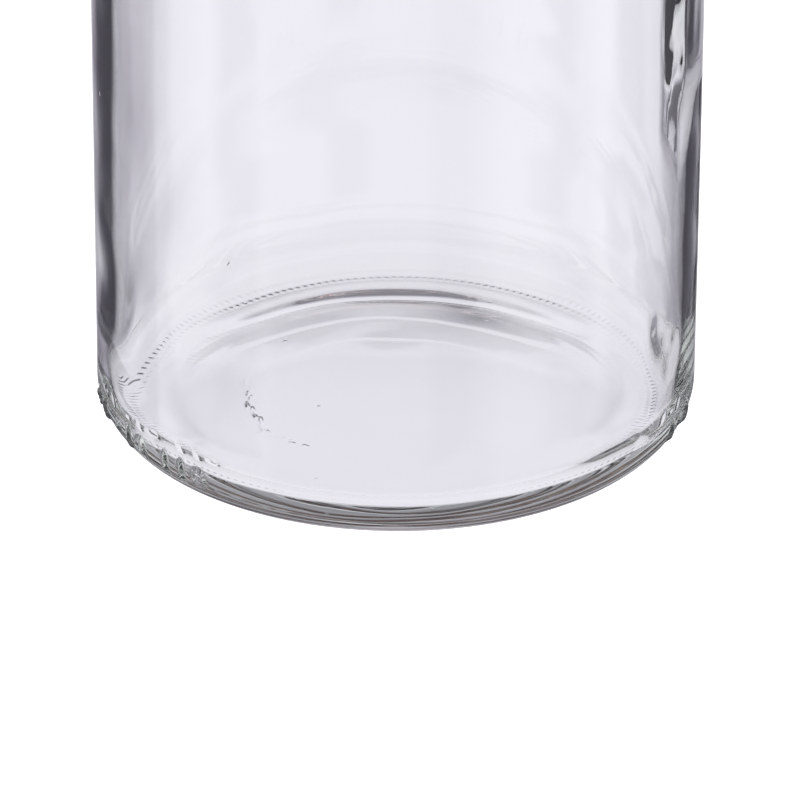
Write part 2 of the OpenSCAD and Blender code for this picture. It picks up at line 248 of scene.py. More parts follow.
def outerOutlines(s, shoulderZ):
    # Underside as a shallow dome that blends into the flat foot; foot and heel's arc; outer wall,
    # shoulder's half wave, groove, collar, rim and lip, as straight lines and arcs.
    body, neck, finish, height = s["bodyRadius"], s["neckRadius"], s["finishRadius"], s["height"]
    footOut = body - s["heel"]
    footIn = footOut - s["foot"]
    baffle, fine, lead = s["baffleRadius"], 5 * s["baffleWidth"], s["footLead"]
    middle = np.concatenate([line(s["pole"], baffle - 2 * fine, 5), line(baffle - fine, baffle + fine, 13),
                             line(baffle + 2 * fine, footIn - 1.25 * lead, 4)])
    radii = np.concatenate([middle, line(footIn - lead, footOut, 16)])
    under = domeLine(radii, s["pushup"], s["pushup"], footIn)
    under[:, 1] = (under[:, 1] + np.hypot(under[:, 1], s["footBlend"])) / 2
    under[:, 1] -= under[-1, 1]
    underside, flat = np.split(under, [len(middle)])
    foot = joined(flat, arc(footOut, s["heel"], s["heel"], -90, 0, 30),
                  line((body, s["heel"]), (body, s["footTop"]), 5))
    grooveTop = height - s["finish"]
    corner, collar, rim, lip = s["grooveCorner"], s["collar"], s["rim"], s["lip"]
    wall = joined(line((body, s["wallFrom"]), (body, shoulderZ - 2 * s["shoulderLead"]), 4),
                  line((body, shoulderZ - s["shoulderLead"]), (body, shoulderZ), 2),
                  halfWave(body, neck, shoulderZ, s["shoulder"], 11),
                  arc(neck + corner, grooveTop - corner, corner, 180, 90, 4),
                  arc(finish - collar, grooveTop + collar, collar, -90, 0, 5),
                  arc(finish - rim, height - rim, rim, 0, 90, 5),
                  arc(s["mouthRadius"] + lip, height - lip, lip, 90, 180, 5))
    return underside, foot, wall


def insideOutline(s, shoulderZ):
    # Mouth, the shoulder's half wave, straight wall, the wide corner's arc and the floor's dome.
    inner = s["bodyRadius"] - s["wall"]
    cornerR, cornerZ = cornerCentre(s)
    shoulder = halfWave(inner, s["mouthRadius"], shoulderZ - s["shoulderDrop"], s["shoulder"], 11)[::-1]
    return joined(line((s["mouthRadius"], s["height"] - 2 * s["lip"]), shoulder[0], 4), shoulder,
                  line(shoulder[-1], (inner, cornerZ), 50),
                  arc(cornerR, cornerZ, s["floorCorner"], 0, -90, 14),
                  domeLine(line(cornerR, s["pole"], 14), s["pushup"] + s["base"], s["floorFall"], cornerR))


def baffleRelief(theta, r, z, s):
    # A groove with a bell's section round a radius that wanders by sines and jumps by a square wave.
    wander = s["baffleRadius"] + sum(a * np.sin(n * theta + phase) for a, n, phase in s["baffleWander"])
    wander = wander + s["baffleJump"] * np.sign(np.sin(s["baffleJumps"] * theta))
    place, width, n, uneven = s["baffleStretch"]
    stretch = bump(angleFrom(theta, place), width) * (1 - uneven + uneven * np.sin(n * theta))
    place, width, n, share = s["baffleDashes"]
    dashes = share * bump(angleFrom(theta, place), width) * (np.sin(n * theta) > 0)
    return -s["baffleDepth"] * (stretch + dashes) * bump(r - wander, s["baffleWidth"])


def footRelief(theta, r, z, s):
    # Rows of ridges on the bearing ring, a cosine round the jar between smooth edges, and raised dots,
    # bars and rings on the heel: e to the minus square of a distance that is 1 near the mark's edge.
    h = 0 * theta
    for low, high, depth, shift in s["stippleRows"]:
        row = ramp(r, low, low + s["stippleEdge"]) * fade(r, high - s["stippleEdge"], high)
        ridges = 0.5 - 0.5 * np.cos(s["stippleCount"] * theta + tau * shift)
        h = h - depth * row * ridges * (z < s["stippleTop"])
    up = z - s["markPlace"]
    for place, kind in s["marks"]:
        side = s["bodyRadius"] * angleFrom(theta, place - 90)
        if kind == "ring":
            off = (np.hypot(side, up) - s["ringRadius"]) / s["ringLine"]
        else:
            off = (side / s["markWidth"]) ** 2 + (up / s[kind + "Half"]) ** 4
        h = h + s["markHeight"] * np.exp(-off ** 2)
    return h


def wallRelief(theta, r, z, s):
    # Slow waves of the outer wall, which the mould left.
    return waves(theta, z, s["outerWaves"]) * fade(z, *s["outerTop"])


def tongue(theta, z, s):
    # A ridge with a roof's section, cut off at its full rise: the lowest of the slopes from its left and
    # right edges and of the streaked rise. Angles count in degrees from +X to the front.
    tip, wide, near, far = s["tongueAngles"]
    place = -np.degrees(angleFrom(theta, 0))
    grow = ramp(z, *s["tongueGrows"])
    left = tip + (wide - tip + s["frayAngle"] * np.sin(z / s["frayLength"])) * grow
    right = tip + (near - tip) * grow + (far - near) * ramp(z, *s["tongueOpens"])
    perDegree = s["tongueSlope"] * math.radians(s["bodyRadius"] - s["wall"])
    low = np.minimum(left - place, place - right) * perDegree
    streaks = 1 + s["streakShare"] * np.sin(s["streaksPerDegree"] * place + z / s["streakLength"]) * grow
    return np.maximum(np.minimum(low, s["tongueRise"] * streaks), 0)


def tighter(theta, r, z, s):
    # How far the tighter corner lies outside the wide one, along a ray from the wide one's centre: the
    # ray's length to the tighter circle, or to the wall or floor beside it, less the wide radius.
    wide, tight = s["floorCorner"], s["sideCorner"]
    centreR, centreZ = cornerCentre(s)
    if r < centreR or z > centreZ:
        return 0 * theta
    across, down = (r - centreR) / wide, (centreZ - z) / wide
    shift = wide - tight
    if min(across, down) / max(across, down) < shift / wide:
        reach = wide / max(across, down)
    else:
        both = across + down
        reach = shift * both + math.sqrt(max(shift ** 2 * (both ** 2 - 2) + tight ** 2, 0))
    sides = ramp(np.abs(np.cos(theta)), *s["sideCornerRange"])
    front = s["frontShare"] * ramp(-np.sin(theta), 0, s["frontEdge"])
    return (reach - wide) * np.maximum(sides, front)


def insideRelief(theta, r, z, s):
    # Blown glass is uneven inside: waves, thicker sides, the tongue and lumps on the wall, the tighter
    # corner and its lumps, and ripples on the floor, added up within the limits of each.
    left = s["leftMore"] * bump(angleFrom(theta, s["leftPlace"]), s["sideWidth"]) * ramp(z, *s["leftFoot"])
    left = left * (1 - s["dipShare"] * bump(z - s["dipZ"], s["dipSpread"]))
    right = s["rightLess"] * bump(angleFrom(theta, s["rightPlace"]), s["sideWidth"])
    wall = waves(theta, z, s["wallWaves"]) + left - right + tongue(theta, z, s)
    for place, height, radius, rise in s["lumps"]:
        wall = wall + rise * bump(np.hypot(r * angleFrom(theta, -place), z - height), radius)
    wallShare = ramp(z, *s["wallFoot"]) * fade(z, *s["wallTop"])
    cornerTop = s["pushup"] + s["base"] + s["floorCorner"]
    cornerShare = bump(z - s["cornerAt"] * cornerTop, s["cornerSpread"]) * (r > s["cornerFrom"])
    floorShare = fade(z, cornerTop - s["floorFade"], cornerTop) * ramp(r, *s["floorMiddle"])
    return (wallShare * wall - tighter(theta, r, z, s) + cornerShare * waves(theta, z, s["cornerLumps"])
            + floorShare * waves(theta, r, s["floorWaves"]))


def makeJar(s):
    # The four stretches of the outline are turned round the axis, each with its own relief.
    shoulderZ = s["height"] - s["finish"] - s["groove"] - s["shoulder"]
    stretches = [*outerOutlines(s, shoulderZ), insideOutline(s, shoulderZ)]
    ends = np.cumsum([len(stretch) for stretch in stretches])
    normals = np.split(outward(np.concatenate(stretches)), ends[:-1])
    counts = (s["around"], s["aroundFoot"], s["around"], s["around"])
    reliefs = (baffleRelief, footRelief, wallRelief, insideRelief)
    rings = []
    for stretch, normal, count, relief in zip(stretches, normals, counts, reliefs):
        rings += ringsOf(stretch, normal, count, relief, s)
    return latheMesh("jarGlass", rings, (0, 0, s["pushup"]), (0, 0, s["pushup"] + s["base"]))


# Glass lid

lid = {
    "top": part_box("lid_glass")[1].z, "flangeRadius": 48.5 * mm, "flange": 5 * mm, "flangeZ": 160.6 * mm,
    "domeRadius": 42.6 * mm, "crown": 1.4 * mm, "thickness": 5 * mm, "spigot": 7 * mm,
    "spigotRadius": 40.3 * mm, "spigotWall": 3.8 * mm, "corner": 1.5 * mm, "domeCorner": 3 * mm,
    "edge": 1.1 * mm, "inCorner": 0.6 * mm, "around": 384, "pole": 3 * mm,
    # slow waves of both faces, and the radii between which they begin and end
    "waves": [(0.035 * mm, 2, 35 * mm, 0.8), (0.022 * mm, 5, -21 * mm, 2.9)],
    "wavesBegin": (3 * mm, 12 * mm), "wavesEnd": (20 * mm, 36 * mm),
}


def lidOutline(s):
    # The recess's dome, the spigot's round edges, the flange and the crown's dome, joined by arcs.
    recess, recessTop = s["spigotRadius"] - s["spigotWall"], s["top"] - s["thickness"]
    low, flangeTop, crownZ = s["flangeZ"] - s["spigot"], s["flangeZ"] + s["flange"], s["top"] - s["crown"]
    edge, corner, bend, nook = s["edge"], s["corner"], s["domeCorner"], s["inCorner"]
    recessEdge, crownEdge = recess - bend, s["domeRadius"] - bend
    return joined(domeLine(line(s["pole"], recessEdge, 16), recessTop, s["crown"], recessEdge),
                  arc(recessEdge, recessTop - s["crown"] - bend, bend, 90, 0, 7),
                  arc(recess + edge, low + edge, edge, 180, 270, 6),
                  arc(s["spigotRadius"] - edge, low + edge, edge, 270, 360, 6),
                  arc(s["spigotRadius"] + nook, s["flangeZ"] - nook, nook, 180, 90, 4),
                  arc(s["flangeRadius"] - corner, s["flangeZ"] + corner, corner, -90, 0, 6),
                  arc(s["flangeRadius"] - corner, flangeTop - corner, corner, 0, 90, 6),
                  arc(s["domeRadius"] + nook, flangeTop + nook, nook, 270, 180, 4),
                  arc(crownEdge, crownZ - bend, bend, 0, 90, 8),
                  domeLine(line(crownEdge, s["pole"], 18), s["top"], s["crown"], crownEdge))


def lidRelief(theta, r, z, s):
    # Slow waves that begin near the axis and end before the rim.
    return waves(theta, r, s["waves"]) * fade(r, *s["wavesEnd"]) * ramp(r, *s["wavesBegin"])


def makeLid(s):
    # The lid's outline turned round the axis.
    outline = lidOutline(s)
    rings = ringsOf(outline, outward(outline), s["around"], lidRelief, s)
    return latheMesh("lidGlass", rings, (0, 0, s["top"] - s["thickness"]), (0, 0, s["top"]))


# Rubber ring

seal = {
    "low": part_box("lid_gasket")[0].z, "high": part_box("lid_gasket")[1].z, "inner": 40.6 * mm,
    "outer": 47.8 * mm, "edge": 0.5 * mm, "tabWidth": 16 * mm, "tabEnd": 58.5 * mm, "tabAngle": -50,
    "tabFillet": 3 * mm, "around": 900, "soften": 3,   # points to each side that soften the tab's root
    # ribs across the tab: how many, where the first one is, pitch, width, height, and the shares of half
    # the tab's width between which they end
    "ribs": 4, "firstRib": 47.5 * mm, "ribPitch": 2.2 * mm, "ribWidth": 0.5 * mm,
    "ribHeight": 0.35 * mm, "ribEnds": (0.6, 0.75),
}


def tabEdge(off, s):
    # Outer radius round the ring: the larger of the ring's own radius and, near the tab, of its straight
    # sides or its round end. A running mean then softens the corners.
    half = s["tabWidth"] / 2
    end = s["tabEnd"] - half
    straight = half / np.maximum(np.abs(np.sin(off)), 1e-6)
    roundEnd = end * np.cos(off) + np.sqrt(np.maximum(half ** 2 - (end * np.sin(off)) ** 2, 0))
    tab = np.where(straight * np.cos(off) < end, straight, roundEnd)
    inTab = (np.abs(off) < math.pi / 4) & (straight > s["outer"] - s["tabFillet"])
    sharp = np.where(inTab, np.maximum(tab, s["outer"]), s["outer"])
    n = s["soften"]
    mean = np.full(2 * n + 1, 1 / (2 * n + 1))
    return np.convolve(np.concatenate([sharp[-n:], sharp, sharp[:n]]), mean, "valid")


def sealSection(s):
    # The section's rows, a rectangle with round edges: share of the way from the inner to the outer
    # edge, inset and height. It runs up the inner edge, over the top, down the outer edge and back.
    low, high, edge, soft = s["low"], s["high"], s["edge"], 0.3 * s["edge"]
    innerSide = [(0, 0, low + edge), (0, 0, high - edge), (0, soft, high - soft)]
    top = np.column_stack([line(0, 1, 24), line(edge, -edge, 24), np.full(24, high)])
    outerSide = [(1, -soft, high - soft), (1, 0, (low + high) / 2), (1, -soft, low + soft)]
    bottom = np.column_stack([line(1, 0, 12), line(-edge, edge, 12), np.full(12, low)])
    return np.concatenate([innerSide, top, outerSide, bottom]).T


def makeSeal(s):
    # The section's rows are carried round the ring, and the top rows rise at the tab's ribs.
    theta = np.arange(s["around"]) / s["around"] * tau
    off = angleFrom(theta, s["tabAngle"])
    share, inset, height = sealSection(s)
    r = s["inner"] + share[:, None] * (tabEdge(off, s) - s["inner"])[None] + inset[:, None]
    along, side = r * np.cos(off), np.abs(r * np.sin(off)) / (s["tabWidth"] / 2)
    ribs = sum(bump(along - s["firstRib"] - i * s["ribPitch"], s["ribWidth"]) for i in range(s["ribs"]))
    z = np.repeat(height[:, None], len(theta), 1)
    z = z + s["ribHeight"] * ribs * fade(side, *s["ribEnds"]) * (z >= s["high"]) * (along > 0)
    points = np.stack([r * np.cos(theta), r * np.sin(theta), z], 2)
    rows, count = len(share), len(theta)
    j = np.arange(count)
    k = (j + 1) % count
    faces = []
    for i in range(rows):
        here, there = i * count, (i + 1) % rows * count
        faces.append(np.stack([here + j, there + j, there + k, here + k], 1))
    return addMesh("sealRing", points.reshape(-1, 3), faces)


# Wires

wires = {
    # sides of a wire, step along it, points of an eye, and how its open ends are rounded
    "sides": 20, "step": 0.45 * mm, "eyePoints": 60, "endLength": 0.4, "endFall": 0.75,
    # axes along X that the pieces turn on, as (y, z)
    "hinge": (56 * mm, 159 * mm), "pivot": (-51.3 * mm, 143.5 * mm), "linkAxis": (-50.5 * mm, 135.5 * mm),
}


def rounded(corners, radii):
    # Corner points joined by straight lines, with an arc of the given radius at each inner corner.
    corners = np.array(corners, float)
    parts = [corners[:1]]
    for a, b, c, radius in zip(corners[:-2], corners[1:-1], corners[2:], radii):
        u = (b - a) / np.linalg.norm(b - a)
        v = (c - b) / np.linalg.norm(c - b)
        turn = math.acos(float(np.clip(u @ v, -1, 1)))
        inward = v - u * (u @ v)
        inward = inward / np.linalg.norm(inward)
        centre = b - u * radius * math.tan(turn / 2) + inward * radius
        t = np.linspace(0, turn, 12)[:, None]
        parts.append(centre - inward * radius * np.cos(t) + u * radius * np.sin(t))
    parts.append(corners[-1:])
    return np.concatenate(parts)


def halfRing(radius, z, bend, frontX, rearX):
    # Right half of a level ring that turns out along -Y at frontX and along +Y at rearX. Each bend's
    # circle touches the ring from outside and the straight line at its x.
    def turnCentre(x):
        # The centre lies one bend beside the line and one bend outside the ring.
        return x + bend, math.sqrt((radius + bend) ** 2 - (x + bend) ** 2)

    (fx, fy), (rx, ry) = turnCentre(frontX), turnCentre(rearX)
    front, rear = [math.degrees(math.atan2(y, x)) for x, y in ((fx, fy), (rx, ry))]
    flat = np.concatenate([arc(fx, -fy, bend, 180, 180 - front, 14), arc(0, 0, radius, -front, rear, 160),
                           arc(rx, ry, bend, 180 + rear, 180, 14)])
    return np.column_stack([flat, np.full(len(flat), z)])


def mirrored(path):
    # The same path on the other side of x = 0, run the other way.
    return (path * (-1, 1, 1))[::-1]


def bothSides(right):
    # Corner points on the right, followed by their mirror images on the left.
    return right + [(-x, y, z) for x, y, z in right[::-1]]


def eyeArc(x, axis, radius, start, sweep):
    # Arc round an axis along X, from an angle in degrees that starts at +Y.
    a = np.radians(np.linspace(start, start + sweep, wires["eyePoints"]))
    return np.stack([np.full(len(a), x), axis[0] + radius * np.cos(a), axis[1] + radius * np.sin(a)], 1)


def evenSteps(path, step):
    # The path's points, spread evenly along its length.
    gaps = np.linalg.norm(np.diff(path, axis=0), axis=1)
    path = path[np.concatenate([[True], gaps > 1e-7])]
    length = np.concatenate([[0], np.cumsum(np.linalg.norm(np.diff(path, axis=0), axis=1))])
    s = np.linspace(0, length[-1], max(int(length[-1] / step), 8))
    return np.stack([np.interp(s, length, path[:, i]) for i in range(3)], 1), s


def tube(path, radius, closed=False):
    # A circle carried along the path. Its frame is the tangent crossed with one slanted direction,
    # which no stretch of these wires follows. An open end shrinks as a root and closes as a fan.
    points, s = evenSteps(path, wires["step"])
    if closed:
        points, s = points[:-1], s[:-1]
        tangent = np.roll(points, -1, 0) - np.roll(points, 1, 0)
    else:
        tangent = np.gradient(points, axis=0)
    tangent /= np.linalg.norm(tangent, axis=1)[:, None]
    side = np.cross(tangent, np.array([1.0, 1.0, 1.0]) / math.sqrt(3))
    side /= np.linalg.norm(side, axis=1)[:, None]
    other = np.cross(tangent, side)
    size = np.full(len(points), radius)
    if not closed:
        near = np.minimum(np.minimum(s, s[-1] - s) / (wires["endLength"] * radius), 1)
        size = radius * np.sqrt(np.clip(1 - (1 - near) ** 2 * wires["endFall"], 0, 1))
    a = np.arange(wires["sides"]) / wires["sides"] * tau
    ring = side[:, None] * np.cos(a)[None, :, None] + other[:, None] * np.sin(a)[None, :, None]
    grid = points[:, None] + ring * size[:, None, None]
    n, m = len(points), wires["sides"]
    rows = np.arange(n if closed else n - 1)
    i, j = [g.ravel() for g in np.meshgrid(rows, np.arange(m), indexing="ij")]
    ii, jj = (i + 1) % n, (j + 1) % m
    quads = np.stack([i * m + j, i * m + jj, ii * m + jj, ii * m + j], 1)
    uvs = np.stack([np.repeat(s, m), np.tile(a / tau, n) * tau * radius], 1)
    points = grid.reshape(-1, 3)
    triangles = np.zeros((0, 3), int)
    if not closed:
        ends = np.array([grid[0].mean(0), grid[-1].mean(0)])
        j = np.arange(m)
        last = (n - 1) * m
        triangles = np.concatenate([np.stack([0 * j + n * m, (j + 1) % m, j], 1),
                                    np.stack([0 * j + n * m + 1, last + j, last + (j + 1) % m], 1)])
        points = np.concatenate([points, ends])
        uvs = np.concatenate([uvs, [[0, 0], [s[-1], 0]]])
    return points, quads, triangles, uvs


def eyePair(x, axis, radius, wire):
    # Two closed eyes, at -x and at x.
    return [tube(eyeArc(side * x, axis, radius, 0, 360), wire, True) for side in (-1, 1)]


def wirePiece(name, tubes):
    # One piece from several tubes, whose faces count on from the points of the tubes before.
    points, quads, triangles, uvs = zip(*tubes)
    starts = np.cumsum([0] + [len(part) for part in points])
    faceSets = [np.concatenate([part + start for part, start in zip(faces, starts)])
                for faces in (quads, triangles)]
    return addMesh(name, np.concatenate(points), faceSets, np.concatenate(uvs))


neckWire = {
    "wire": 1.2 * mm, "ring": 45.8 * mm, "z": 143.5 * mm, "bend": 4 * mm, "eyeX": 16.5 * mm,
    "eye": 2.55 * mm, "hingeX": 9 * mm, "legBend": 3 * mm, "barBend": 2.2 * mm,
}


def makeNeckWire(w):
    # From the right eye half round the neck, up and across as the hinge bar, down again and half round
    # to the left eye: two half rings with the bar's rounded corners between them.
    hingeY, hingeZ = wires["hinge"]
    start = np.array([(w["eyeX"], wires["pivot"][0] + w["eye"], wires["pivot"][1])])
    right = halfRing(w["ring"], w["z"], w["bend"], w["eyeX"], w["hingeX"])
    corners = bothSides([tuple(right[-1]), (w["hingeX"], hingeY, w["z"]), (w["hingeX"], hingeY, hingeZ)])
    bends = [w["legBend"], w["barBend"]]
    bar = rounded(corners, bends + bends[::-1])
    path = np.concatenate([start, right, bar[1:-1], mirrored(right), mirrored(start)])
    eyes = eyePair(w["eyeX"], wires["pivot"], w["eye"], w["wire"])
    return wirePiece("neckWire", [tube(path, w["wire"])] + eyes)


lidWire = {
    "wire": 1.1 * mm, "ring": 43.8 * mm, "z": 166.8 * mm, "bend": 3 * mm, "eyeX": 4.3 * mm,
    "eye": 2.45 * mm, "eyeSweep": 285, "legBend": 3 * mm,
    "noseX": 7 * mm, "noseY": -54 * mm, "noseTilt": 3, "noseBend": 2.4 * mm,
}


def makeLidWire(w):
    # From the left open eye half round the lid, out and back as the nose, which rises by its tilt, and
    # half round to the right open eye.
    hingeY, hingeZ = wires["hinge"]
    ring = halfRing(w["ring"], w["z"], w["bend"], w["noseX"], w["eyeX"])
    x, legY = w["eyeX"], hingeY - w["eye"]
    leg = rounded([ring[-1], (x, legY, w["z"]), (x, legY, hingeZ)], [w["legBend"]])
    eye = eyeArc(x, wires["hinge"], w["eye"], 180, w["eyeSweep"])
    rise = (ring[0][1] - w["noseY"]) * math.tan(math.radians(w["noseTilt"]))
    tip = (w["noseX"], w["noseY"], w["z"] + rise)
    nose = rounded([mirrored(ring)[-1], (-tip[0], tip[1], tip[2]), tip, ring[0]], [w["noseBend"]] * 2)
    right = np.concatenate([ring, leg[1:], eye[1:]])
    path = np.concatenate([mirrored(right), nose[1:-1], right])
    return wirePiece("lidWire", [tube(path, w["wire"])])


lever = {
    "wire": 1.2 * mm, "armX": 20 * mm, "eye": 2.35 * mm, "kneeZ": 127.5 * mm, "clear": 1.5 * mm,
    "front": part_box("latch_lever")[0].y, "bottom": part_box("latch_lever")[0].z,
    "barBend": 2 * mm, "kneeBend": 6 * mm, "thumbBend": 5 * mm,
}


def makeLever(w):
    # Two bows between the eyes that hold the link: the pivot bar above them, and below them the arms,
    # which clear the body at the knee and lean out to the thumb bar.
    x, wire = w["armX"], w["wire"]
    linkY, linkZ = wires["linkAxis"]
    upper = rounded(bothSides([(x, linkY, linkZ + w["eye"]), (x, *wires["pivot"])]), [w["barBend"]] * 2)
    kneeY = -(math.sqrt(jar["bodyRadius"] ** 2 - (x - wire) ** 2) + w["clear"] + wire)
    thumb = (x, w["front"] + wire, w["bottom"] + wire)
    down = [(x, linkY, linkZ - w["eye"]), (x, kneeY, w["kneeZ"]), thumb]
    bends = [w["kneeBend"], w["thumbBend"]]
    lower = rounded(bothSides(down), bends + bends[::-1])
    eyes = eyePair(x, wires["linkAxis"], w["eye"], wire)
    return wirePiece("latchLever", [tube(upper, wire), tube(lower, wire)] + eyes)


link = {
    "wire": 1.0 * mm, "sideX": 24 * mm, "footX": 18.3 * mm, "top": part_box("latch_link")[1].z,
    "footBend": 2 * mm, "topBend": 6 * mm,
}


def makeLink(w):
    # A foot in each of the lever's eyes, two uprights and the bar across the top.
    y, z = wires["linkAxis"]
    right = [(w["footX"], y, z), (w["sideX"], y, z), (w["sideX"], y, w["top"] - w["wire"])]
    bends = [w["footBend"], w["topBend"]]
    path = rounded(bothSides(right), bends + bends[::-1])
    return wirePiece("latchLink", [tube(path, w["wire"])])


# Materials

def newMaterial(name):
    # A material with its node tree, its Principled shader and its output.
    mat = bpy.data.materials.new(name)
    mat.use_nodes = True
    tree = mat.node_tree
    return mat, tree, tree.nodes["Principled BSDF"], tree.nodes["Material Output"]


def node(tree, kind, inputs=(), **settings):
    # A node with its settings and inputs; an input is a value, or a socket to link from.
    made = tree.nodes.new(kind)
    for key, value in settings.items():
        setattr(made, key, value)
    for key, value in dict(inputs).items():
        if isinstance(value, bpy.types.NodeSocket):
            tree.links.new(value, made.inputs[key])
        else:
            made.inputs[key].default_value = value
    return made


def math2(tree, operation, a, b=0.0):
    # One sum, product or the like of two values.
    return node(tree, "ShaderNodeMath", {0: a, 1: b}, operation=operation).outputs[0]


def noise(tree, coords, scale, detail, roughness=0.5):
    # Noise over the coordinates, from 0 to 1.
    inputs = {"Vector": coords, "Scale": scale, "Detail": detail, "Roughness": roughness}
    return node(tree, "ShaderNodeTexNoise", inputs).outputs["Fac"]


def between(tree, value, low, high):
    # A value from 0 to 1, stretched to run from low to high.
    return node(tree, "ShaderNodeMapRange", {0: value, 3: low, 4: high}).outputs[0]


def bumps(tree, height, strength, depth, under=None):
    # Normal of a surface that rises by depth times the height, on top of another such normal.
    inputs = {"Height": height, "Strength": strength, "Distance": depth}
    if under is not None:
        inputs["Normal"] = under
    return node(tree, "ShaderNodeBump", inputs).outputs["Normal"]


glassLook = {
    "tint": (0.915, 0.936, 0.908, 1), "density": 25.0, "ior": 1.52, "lampTint": (0.93, 0.94, 0.95, 1),
    # skin: very low waves of the surface
    "skinScale": 55.0, "skinStrength": 0.2, "skinDepth": 0.4 * mm,
    # seeds: tiny bubbles, one in each cell of a 3D pattern that the surface happens to cut
    "seedCells": 70.0, "seedShare": 0.03, "seedDepth": 0.12 * mm,
}


def glassMaterial(name, look):
    # Clear glass with a faint green absorption and a skin too faint to see but in its highlights. A
    # shadow ray sees it as clear and slightly tinted.
    mat, tree, shader, output = newMaterial(name)
    shader.inputs["Base Color"].default_value = (1, 1, 1, 1)
    shader.inputs["Roughness"].default_value = 0.0
    shader.inputs["IOR"].default_value = look["ior"]
    shader.inputs["Transmission Weight"].default_value = 1.0
    coords = node(tree, "ShaderNodeTexCoord").outputs["Object"]
    waviness = noise(tree, coords, look["skinScale"], 1.0, 0.4)
    skin = bumps(tree, waviness, look["skinStrength"], look["skinDepth"])
    cells = node(tree, "ShaderNodeTexVoronoi", {"Vector": coords, "Scale": look["seedCells"]})
    inputs = {0: cells.outputs["Distance"], 1: 0.0, 2: look["seedShare"], 3: 1.0, 4: 0.0}
    seeds = node(tree, "ShaderNodeMapRange", inputs).outputs[0]
    tree.links.new(bumps(tree, seeds, 1.0, look["seedDepth"], skin), shader.inputs["Normal"])
    clear =node(tree, "ShaderNodeBsdfTransparent", {"Color": look["lampTint"]})
    shadowRay = node(tree, "ShaderNodeLightPath").outputs["Is Shadow Ray"]
    mix = node(tree, "ShaderNodeMixShader", {0: shadowRay, 1: shader.outputs[0], 2: clear.outputs[0]})
    tree.links.new(mix.outputs[0], output.inputs["Surface"])
    inside = node(tree, "ShaderNodeVolumeAbsorption", {"Color": look["tint"], "Density": look["density"]})
    tree.links.new(inside.outputs[0], output.inputs["Volume"])
    return mat


steelLook = {
    "lineScale": (60, 4200, 1), "lineTone": (0.52, 0.70), "lineStrength": 0.3, "lineDepth": 0.03 * mm,
    "warmth": (0.995, 0.985), "markScale": 140.0, "roughness": (0.14, 0.34),
}


def steelMaterial(look):
    # Drawn stainless wire: bright, with fine lines along its length and faint handling marks.
    mat, tree, shader, output = newMaterial("drawnSteel")
    shader.inputs["Metallic"].default_value = 1.0
    coords = node(tree, "ShaderNodeTexCoord").outputs
    stretched = node(tree, "ShaderNodeMapping", {"Vector": coords["UV"], "Scale": look["lineScale"]})
    lines = noise(tree, stretched.outputs[0], 1.0, 3.0)
    marks = noise(tree, coords["Object"], look["markScale"], 5.0)
    tone = between(tree, lines, *look["lineTone"])
    green, blue = [math2(tree, "MULTIPLY", tone, share) for share in look["warmth"]]
    colour = node(tree, "ShaderNodeCombineColor", {0: tone, 1: green, 2: blue})
    tree.links.new(colour.outputs[0], shader.inputs["Base Color"])
    tree.links.new(between(tree, marks, *look["roughness"]), shader.inputs["Roughness"])
    tree.links.new(bumps(tree, lines, look["lineStrength"], look["lineDepth"]), shader.inputs["Normal"])
    return mat


rubberLook = {
    "cloudScale": 90.0, "cloud": [(0.3, (0.60, 0.115, 0.03, 1)), (0.75, (0.74, 0.20, 0.07, 1))],
    "poreScale": 1600.0, "poreStrength": 0.35, "poreDepth": 0.1 * mm, "roughness": (0.5, 0.68),
    "sheen": 0.15,
}


def rubberMaterial(look):
    # Natural rubber: orange-red, a little chalky, with fine pores.
    mat, tree, shader, output = newMaterial("naturalRubber")
    coords = node(tree, "ShaderNodeTexCoord").outputs["Object"]
    cloud = noise(tree, coords, look["cloudScale"], 5.0)
    pores = noise(tree, coords, look["poreScale"], 2.0)
    colour = node(tree, "ShaderNodeValToRGB", {0: cloud})
    for element, (position, value) in zip(colour.color_ramp.elements, look["cloud"]):
        element.position = position
        element.color = value
    shader.inputs["Sheen Weight"].default_value = look["sheen"]
    tree.links.new(colour.outputs[0], shader.inputs["Base Color"])
    tree.links.new(between(tree, pores, *look["roughness"]), shader.inputs["Roughness"])
    tree.links.new(bumps(tree, pores, look["poreStrength"], look["poreDepth"]), shader.inputs["Normal"])
    return mat


# Pieces on the frame

def place(piece, body, cadNode, slot, material):
    # Gives the piece its material, ties it to its body and hides the CAD node that it stands in for.
    piece.data.materials.append(material)
    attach(piece, body)
    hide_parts(cadNode)


jarGlass = glassMaterial("jarGlassClear", glassLook)
lidGlass = glassMaterial("lidGlassClear", glassLook)
steel = steelMaterial(steelLook)
rubber = rubberMaterial(rubberLook)
print("materials made")
place(makeJar(jar), "jar", "glass_body", "jar_glass", jarGlass)
place(makeLid(lid), "lid", "lid_glass", "lid_glass", lidGlass)
place(makeSeal(seal), "lid", "lid_gasket", "rubber", rubber)
place(makeNeckWire(neckWire), "jar", "neck_wire", "wire_steel", steel)
place(makeLidWire(lidWire), "lid", "lid_wire", "wire_steel", steel)
place(makeLever(lever), "lever", "latch_lever", "wire_steel", steel)
place(makeLink(link), "link", "latch_link", "wire_steel", steel)
print("pieces made")


# Studio

